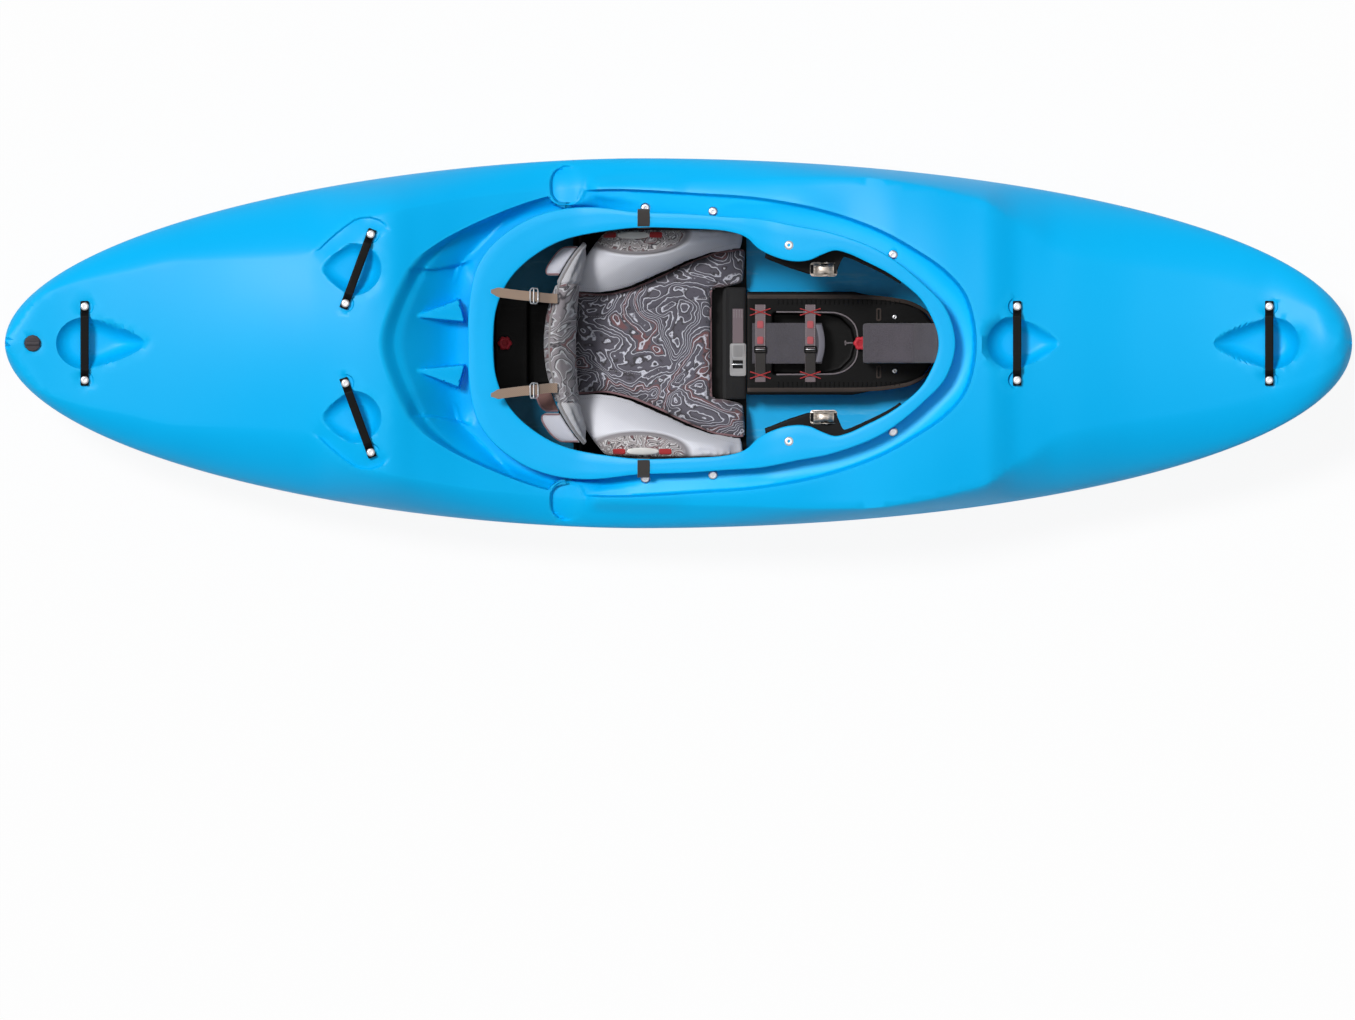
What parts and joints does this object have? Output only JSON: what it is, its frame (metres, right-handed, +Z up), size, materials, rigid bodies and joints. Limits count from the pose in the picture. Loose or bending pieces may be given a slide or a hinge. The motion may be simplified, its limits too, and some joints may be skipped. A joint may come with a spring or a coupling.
{
  "type": "whitewater kayak",
  "caption": "Short planing-bottom whitewater kayak with a moulded coaming, grab handles, a sliding outfitted seat with backband and hip pads, thigh braces and a footbrace.",
  "frame": {"origin": "centre of the bounding box in plan, on the flat of the hull's bottom", "axes": "+X towards the bow, +Y towards port, +Z up"},
  "size_m": [2.56, 0.703, 0.383],
  "materials": {
    "hull": "satin moulded polyethylene",
    "black_plastic": "grained moulded plastic",
    "grey_plastic": "satin moulded plastic",
    "red_plastic": "moulded knob",
    "steel": "bright stainless",
    "webbing": "woven webbing",
    "pad_fabric": "light grey laminated fabric",
    "seat_fabric": "patterned grey-brown fabric",
    "foam": "closed-cell foam"
  },
  "bodies": {
    "hull": {"hull_shell": "hull", "handle_stern": "black_plastic", "handle_bow": "black_plastic", "handle_front": "black_plastic", "handle_rear_port": "black_plastic", "handle_rear_starboard": "black_plastic", "handle_bolt_stern_a": "steel", "handle_bolt_stern_b": "steel", "handle_bolt_bow_a": "steel", "handle_bolt_bow_b": "steel", "handle_bolt_front_a": "steel", "handle_bolt_front_b": "steel", "handle_bolt_rear_port_a": "steel", "handle_bolt_rear_port_b": "steel", "handle_bolt_rear_starboard_a": "steel", "handle_bolt_rear_starboard_b": "steel", "rim_bolt_rear_port": "steel", "rim_bolt_mid_port": "steel", "rim_bolt_brace_rear_port": "steel", "rim_bolt_brace_front_port": "steel", "rim_bolt_rear_starboard": "steel", "rim_bolt_mid_starboard": "steel", "rim_bolt_brace_rear_starboard": "steel", "rim_bolt_brace_front_starboard": "steel", "rim_tab_port": "webbing", "rim_tab_starboard": "webbing", "rear_pillar": "foam", "front_pillar": "foam", "footbrace_rail_port": "black_plastic", "footbrace_rail_starboard": "black_plastic", "rail_bolt_aft_port": "steel", "rail_bolt_fore_port": "steel", "rail_bolt_aft_starboard": "steel", "rail_bolt_fore_starboard": "steel"},
    "plug": {"drain_plug": "grey_plastic"},
    "seat": {"seat_pan": "black_plastic", "seat_cushion": "seat_fabric", "rear_tray": "black_plastic", "center_console": "black_plastic", "console_mat": "foam", "console_strap_rear": "webbing", "console_strap_front": "webbing"},
    "lifter": {"leg_lifter": "black_plastic", "leg_strap": "webbing", "leg_buckle": "steel"},
    "hip_port": {"hip_pad_port": "pad_fabric"},
    "hip_starboard": {"hip_pad_starboard": "pad_fabric"},
    "back": {"backband": "seat_fabric", "strap_tail_port": "webbing", "strap_tail_starboard": "webbing"},
    "knob_rear": {"rear_knob": "red_plastic"},
    "knob_front": {"front_knob": "red_plastic"},
    "brace_port": {"thigh_brace_port": "black_plastic", "ratchet_port": "steel"},
    "brace_starboard": {"thigh_brace_starboard": "black_plastic", "ratchet_starboard": "steel"},
    "lever_port": {"ratchet_lever_port": "steel"},
    "lever_starboard": {"ratchet_lever_starboard": "steel"},
    "footrest": {"footbrace_plate": "black_plastic", "footbrace_pad": "foam"}
  },
  "joints": [
    {"name": "plug_lift", "type": "slide", "parent": "hull", "child": "plug", "axis": [0, 0, 1], "range_m": [0, 0.025]},
    {"name": "seat_trim", "type": "slide", "parent": "hull", "child": "seat", "axis": [1, 0, 0], "range_m": [-0.04, 0.03]},
    {"name": "leg_lift", "type": "hinge", "parent": "seat", "child": "lifter", "pos_m": [0.08286, 0, 0.0126], "axis": [0, -1, 0], "range_deg": [0, 8]},
    {"name": "hip_fit_port", "type": "slide", "parent": "seat", "child": "hip_port", "axis": [0, -1, 0], "range_m": [0, 0.02]},
    {"name": "hip_fit_starboard", "type": "slide", "parent": "seat", "child": "hip_starboard", "axis": [0, 1, 0], "range_m": [0, 0.02]},
    {"name": "back_tilt", "type": "hinge", "parent": "seat", "child": "back", "pos_m": [-0.18784, 0, 0.112], "axis": [0, 1, 0], "range_deg": [0, 8]},
    {"name": "rear_knob_turn", "type": "hinge", "parent": "seat", "child": "knob_rear", "pos_m": [-0.33114, 0, 0.0703], "axis": [0, 0, 1], "continuous": true},
    {"name": "front_knob_turn", "type": "hinge", "parent": "seat", "child": "knob_front", "pos_m": [0.34446, 0, 0.0953], "axis": [0, 0, 1], "continuous": true},
    {"name": "brace_fit_port", "type": "slide", "parent": "hull", "child": "brace_port", "axis": [0.9927, 0, 0.1204], "range_m": [-0.02, 0.02]},
    {"name": "brace_fit_starboard", "type": "slide", "parent": "hull", "child": "brace_starboard", "axis": [0.9927, 0, 0.1204], "range_m": [-0.02, 0.02]},
    {"name": "lever_turn_port", "type": "hinge", "parent": "brace_port", "child": "lever_port", "pos_m": [0.29475, 0.1406, 0.31392], "axis": [0, 1, 0], "range_deg": [0, 60]},
    {"name": "lever_turn_starboard", "type": "hinge", "parent": "brace_starboard", "child": "lever_starboard", "pos_m": [0.29475, -0.1406, 0.31392], "axis": [0, 1, 0], "range_deg": [0, 60]},
    {"name": "footrest_fit", "type": "slide", "parent": "hull", "child": "footrest", "axis": [1, 0, 0], "range_m": [-0.02, 0.02]}
  ]
}
